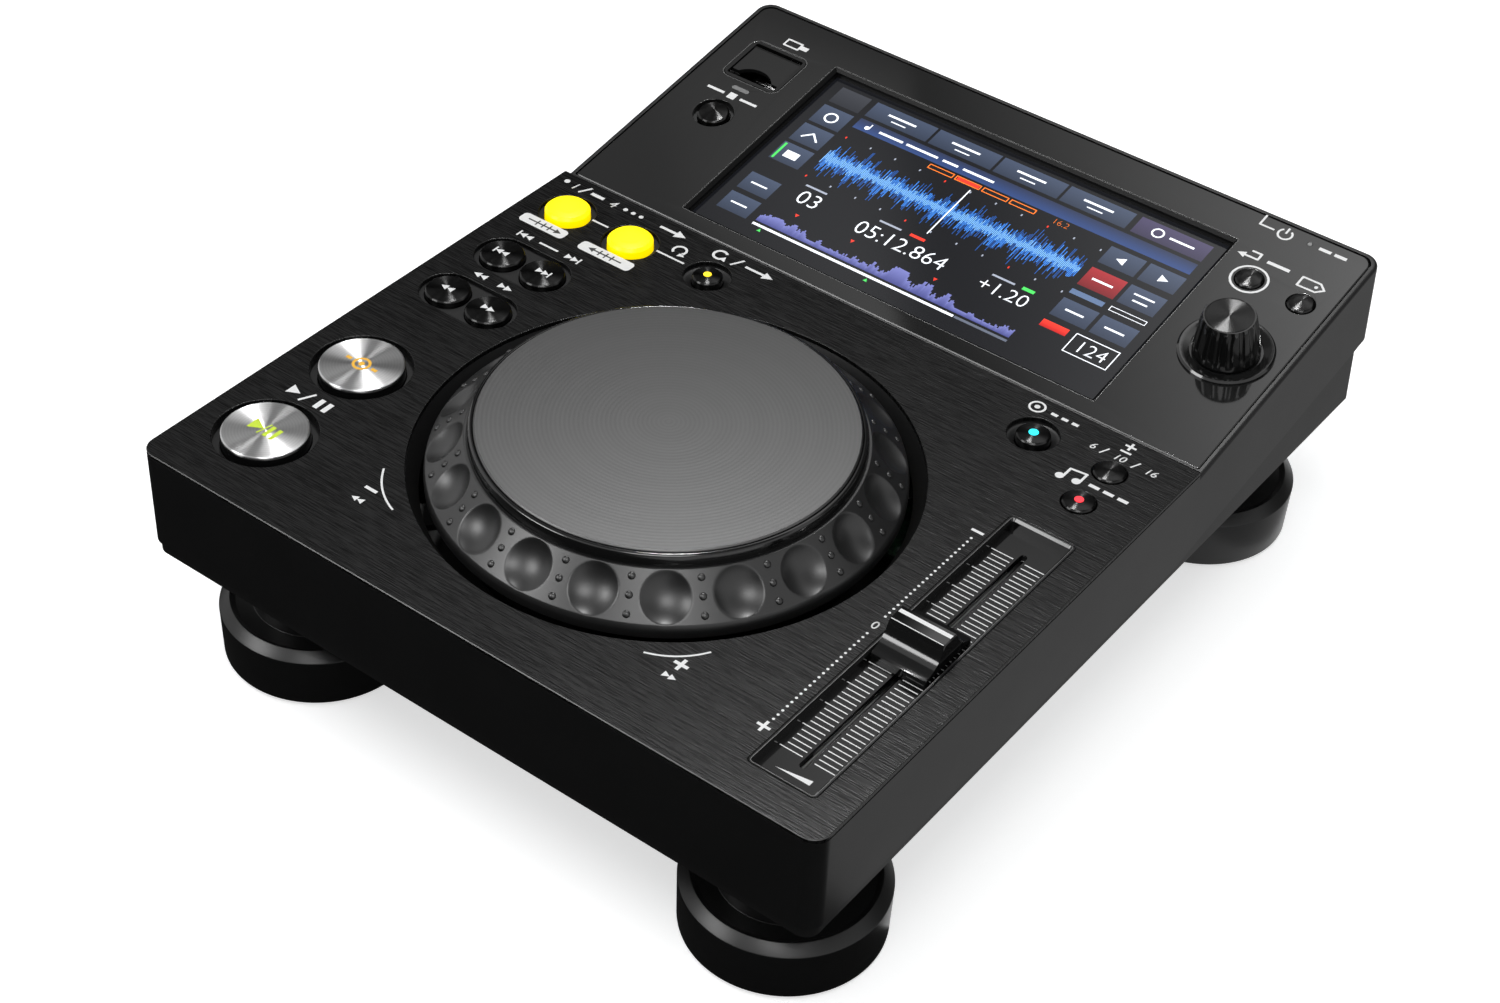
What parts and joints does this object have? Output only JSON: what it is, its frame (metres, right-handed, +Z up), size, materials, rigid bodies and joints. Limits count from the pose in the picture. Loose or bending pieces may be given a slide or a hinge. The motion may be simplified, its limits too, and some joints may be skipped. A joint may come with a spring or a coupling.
{
  "type": "tabletop dj media player deck",
  "caption": "Flat desktop deck with a large dimpled jog wheel, tempo fader and round keys, a tilted touch screen behind and four round feet; plays music from a USB drive.",
  "frame": {"origin": "on the table, under the middle of the case", "axes": "+X to the player's right, +Y to the rear, +Z up"},
  "size_m": [0.24, 0.3012, 0.1027],
  "materials": {
    "case_black": "satin moulded",
    "deck_black": "black anodised, brushed along its width",
    "panel_gloss": "high gloss",
    "screen": "polished, with a lit display behind",
    "chassis_grey": "fine matt powder coat",
    "foot_black": "satin moulded",
    "rubber_black": "matt",
    "dial_black": "satin moulded",
    "rim_gloss": "high gloss",
    "platter_grey": "spun, fine concentric rings",
    "spun_silver": "spun, bright",
    "button_black": "gloss",
    "fader_black": "gloss",
    "steel": "bright zinc",
    "brass_race": "machined",
    "board_green": "laminate with solder mask",
    "socket_black": "moulded",
    "socket_metal": "nickel plated",
    "lens_clear": "clear light guide"
  },
  "bodies": {
    "case": {"top_case": "case_black", "rear_case": "case_black", "deck_plate": "deck_black", "display_panel": "panel_gloss", "screen_glass": "screen", "lcd_module": "socket_metal", "bottom_chassis": "chassis_grey", "foot_front_left": "foot_black", "foot_front_right": "foot_black", "foot_rear_left": "foot_black", "foot_rear_right": "foot_black", "foot_pads": "rubber_black", "foot_screws": "steel", "case_screws": "steel", "jog_base": "steel", "jog_sensor": "socket_black", "fader_bezel": "fader_black", "fader_frame": "steel", "key_board_left": "board_green", "key_board_right": "board_green", "panel_boards": "board_green", "rotary_collar": "rim_gloss", "rotary_encoder": "steel", "usb_bay": "button_black", "usb_socket": "socket_metal", "indicator_lenses": "lens_clear", "rca_sockets": "socket_metal", "lan_socket": "socket_metal", "usb_b_socket": "socket_metal", "dc_inlet": "socket_black", "jack_board": "board_green", "main_board": "board_green", "board_screws": "steel"},
    "jog_dial_body": {"jog_dial": "dial_black", "jog_rim": "rim_gloss", "jog_bearing": "brass_race", "jog_encoder_disc": "steel"},
    "jog_touch_body": {"jog_platter": "platter_grey"},
    "tempo_body": {"fader_cap": "fader_black", "fader_carriage": "socket_black"},
    "rotary_push_body": {"rotary_plunger": "steel"},
    "rotary_turn_body": {"rotary_knob": "dial_black", "rotary_shaft": "steel"},
    "usb_flap_body": {"usb_flap": "panel_gloss"},
    "power_body": {"power_button": "socket_black"},
    "play_button_body": {"play_button": "spun_silver"},
    "cue_button_body": {"cue_button": "spun_silver"},
    "loop_in_button_body": {"loop_in_button": "button_black"},
    "loop_out_button_body": {"loop_out_button": "button_black"},
    "reloop_button_body": {"reloop_button": "button_black"},
    "track_back_button_body": {"track_back_button": "button_black"},
    "track_next_button_body": {"track_next_button": "button_black"},
    "search_back_button_body": {"search_back_button": "button_black"},
    "search_next_button_body": {"search_next_button": "button_black"},
    "vinyl_mode_button_body": {"vinyl_mode_button": "button_black"},
    "tempo_range_button_body": {"tempo_range_button": "button_black"},
    "master_tempo_button_body": {"master_tempo_button": "button_black"},
    "usb_stop_button_body": {"usb_stop_button": "button_black"},
    "back_button_body": {"back_button": "button_black"},
    "tag_button_body": {"tag_button": "button_black"}
  },
  "joints": [
    {"name": "jog_spin", "type": "hinge", "parent": "case", "child": "jog_dial_body", "pos_m": [-0.0007, -0.05855, 0.0806], "axis": [0, 0, 1], "continuous": true},
    {"name": "jog_touch", "type": "slide", "parent": "jog_dial_body", "child": "jog_touch_body", "axis": [0, 0, -1], "range_m": [0, 0.0005], "stiffness_N_per_m": 900},
    {"name": "tempo_slide", "type": "slide", "parent": "case", "child": "tempo_body", "axis": [0, 1, 0], "range_m": [-0.0509, 0.0491]},
    {"name": "rotary_push", "type": "slide", "parent": "case", "child": "rotary_push_body", "axis": [0, 0.1709, -0.9853], "range_m": [0, 0.0006], "stiffness_N_per_m": 900},
    {"name": "rotary_turn", "type": "hinge", "parent": "rotary_push_body", "child": "rotary_turn_body", "pos_m": [0.0998, 0.08633, 0.08681], "axis": [0, -0.1709, 0.9853], "continuous": true},
    {"name": "usb_flap_hinge", "type": "hinge", "parent": "case", "child": "usb_flap_body", "pos_m": [-0.0983, 0.12491, 0.09228], "axis": [-1, 0, 0], "range_deg": [0, 95]},
    {"name": "power_push", "type": "slide", "parent": "case", "child": "power_body", "axis": [0, -1, 0], "range_m": [0, 0.002], "stiffness_N_per_m": 300},
    {"name": "play_push", "type": "slide", "parent": "case", "child": "play_button_body", "axis": [0, 0, -1], "range_m": [0, 0.0012], "stiffness_N_per_m": 800},
    {"name": "cue_push", "type": "slide", "parent": "case", "child": "cue_button_body", "axis": [0, 0, -1], "range_m": [0, 0.0012], "stiffness_N_per_m": 800},
    {"name": "loop_in_push", "type": "slide", "parent": "case", "child": "loop_in_button_body", "axis": [0, 0, -1], "range_m": [0, 0.0008], "stiffness_N_per_m": 800},
    {"name": "loop_out_push", "type": "slide", "parent": "case", "child": "loop_out_button_body", "axis": [0, 0, -1], "range_m": [0, 0.0008], "stiffness_N_per_m": 800},
    {"name": "reloop_push", "type": "slide", "parent": "case", "child": "reloop_button_body", "axis": [0, 0, -1], "range_m": [0, 0.0008], "stiffness_N_per_m": 800},
    {"name": "track_back_push", "type": "slide", "parent": "case", "child": "track_back_button_body", "axis": [0, 0, -1], "range_m": [0, 0.0008], "stiffness_N_per_m": 800},
    {"name": "track_next_push", "type": "slide", "parent": "case", "child": "track_next_button_body", "axis": [0, 0, -1], "range_m": [0, 0.0008], "stiffness_N_per_m": 800},
    {"name": "search_back_push", "type": "slide", "parent": "case", "child": "search_back_button_body", "axis": [0, 0, -1], "range_m": [0, 0.0008], "stiffness_N_per_m": 800},
    {"name": "search_next_push", "type": "slide", "parent": "case", "child": "search_next_button_body", "axis": [0, 0, -1], "range_m": [0, 0.0008], "stiffness_N_per_m": 800},
    {"name": "vinyl_mode_push", "type": "slide", "parent": "case", "child": "vinyl_mode_button_body", "axis": [0, 0, -1], "range_m": [0, 0.0008], "stiffness_N_per_m": 800},
    {"name": "tempo_range_push", "type": "slide", "parent": "case", "child": "tempo_range_button_body", "axis": [0, 0, -1], "range_m": [0, 0.0008], "stiffness_N_per_m": 800},
    {"name": "master_tempo_push", "type": "slide", "parent": "case", "child": "master_tempo_button_body", "axis": [0, 0, -1], "range_m": [0, 0.0008], "stiffness_N_per_m": 800},
    {"name": "usb_stop_push", "type": "slide", "parent": "case", "child": "usb_stop_button_body", "axis": [0, 0.1709, -0.9853], "range_m": [0, 0.0008], "stiffness_N_per_m": 800},
    {"name": "back_push", "type": "slide", "parent": "case", "child": "back_button_body", "axis": [0, 0.1709, -0.9853], "range_m": [0, 0.0008], "stiffness_N_per_m": 800},
    {"name": "tag_push", "type": "slide", "parent": "case", "child": "tag_button_body", "axis": [0, 0.1709, -0.9853], "range_m": [0, 0.0008], "stiffness_N_per_m": 800}
  ]
}
